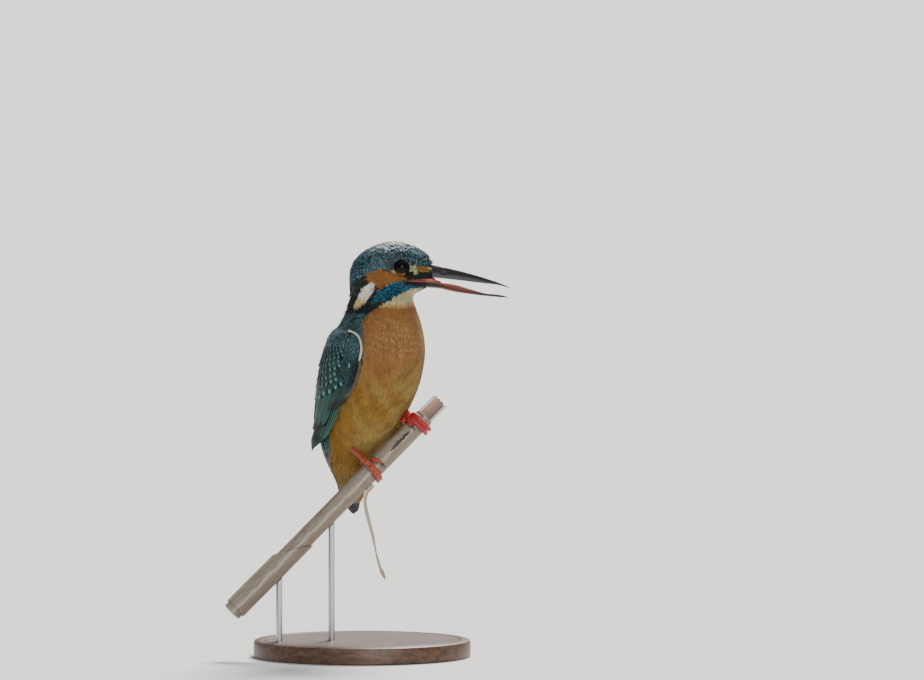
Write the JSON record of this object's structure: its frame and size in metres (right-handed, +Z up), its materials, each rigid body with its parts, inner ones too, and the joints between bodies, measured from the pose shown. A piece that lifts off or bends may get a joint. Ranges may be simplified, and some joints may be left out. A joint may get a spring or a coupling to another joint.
{
  "type": "common kingfisher perched on a reed, on a display stand",
  "caption": "Life-size female common kingfisher with its bill a little open, gripping a cut length of dry reed held up by thin rods on a round wooden base.",
  "frame": {"origin": "centre of the underside of the round display base", "axes": "+Z up, +X the way the bill points, -Y the side from which the right wing is seen"},
  "size_m": [0.131, 0.1, 0.1916],
  "materials": {
    "crown_blue": "soft feather",
    "breast_rust": "soft feather",
    "wing_teal": "soft feather",
    "quill_brown": "feather vane",
    "tail_blue": "feather vane",
    "bill_horn": "polished horn",
    "bill_red": "polished horn",
    "eye": "wet gloss",
    "foot_red": "fine scales",
    "claw": "satin horn",
    "dry_reed": "dry and weathered",
    "stand_wood": "satin varnish",
    "stand_steel": "brushed"
  },
  "bodies": {
    "root": {"bill_lower": "bill_red", "bill_upper": "bill_horn", "claw_left_hind": "claw", "claw_left_inner": "claw", "claw_left_middle": "claw", "claw_left_outer": "claw", "claw_right_hind": "claw", "claw_right_inner": "claw", "claw_right_middle": "claw", "claw_right_outer": "claw", "eye_left": "eye", "eye_right": "eye", "head": "crown_blue", "neck": "breast_rust", "perch_sheath": "dry_reed", "perch_stem": "dry_reed", "perch_strip": "dry_reed", "stand_base": "stand_wood", "stand_rod_front": "stand_steel", "stand_rod_rear": "stand_steel", "tail": "tail_blue", "tarsus_left": "foot_red", "tarsus_right": "foot_red", "thigh_left": "breast_rust", "thigh_right": "breast_rust", "toe_left_hind": "foot_red", "toe_left_inner": "foot_red", "toe_left_middle": "foot_red", "toe_left_outer": "foot_red", "toe_right_hind": "foot_red", "toe_right_inner": "foot_red", "toe_right_middle": "foot_red", "toe_right_outer": "foot_red", "trunk": "breast_rust", "wing_left_coverts": "wing_teal", "wing_left_primaries": "quill_brown", "wing_left_secondaries": "wing_teal", "wing_right_coverts": "wing_teal", "wing_right_primaries": "quill_brown", "wing_right_secondaries": "wing_teal"}
  },
  "joints": []
}
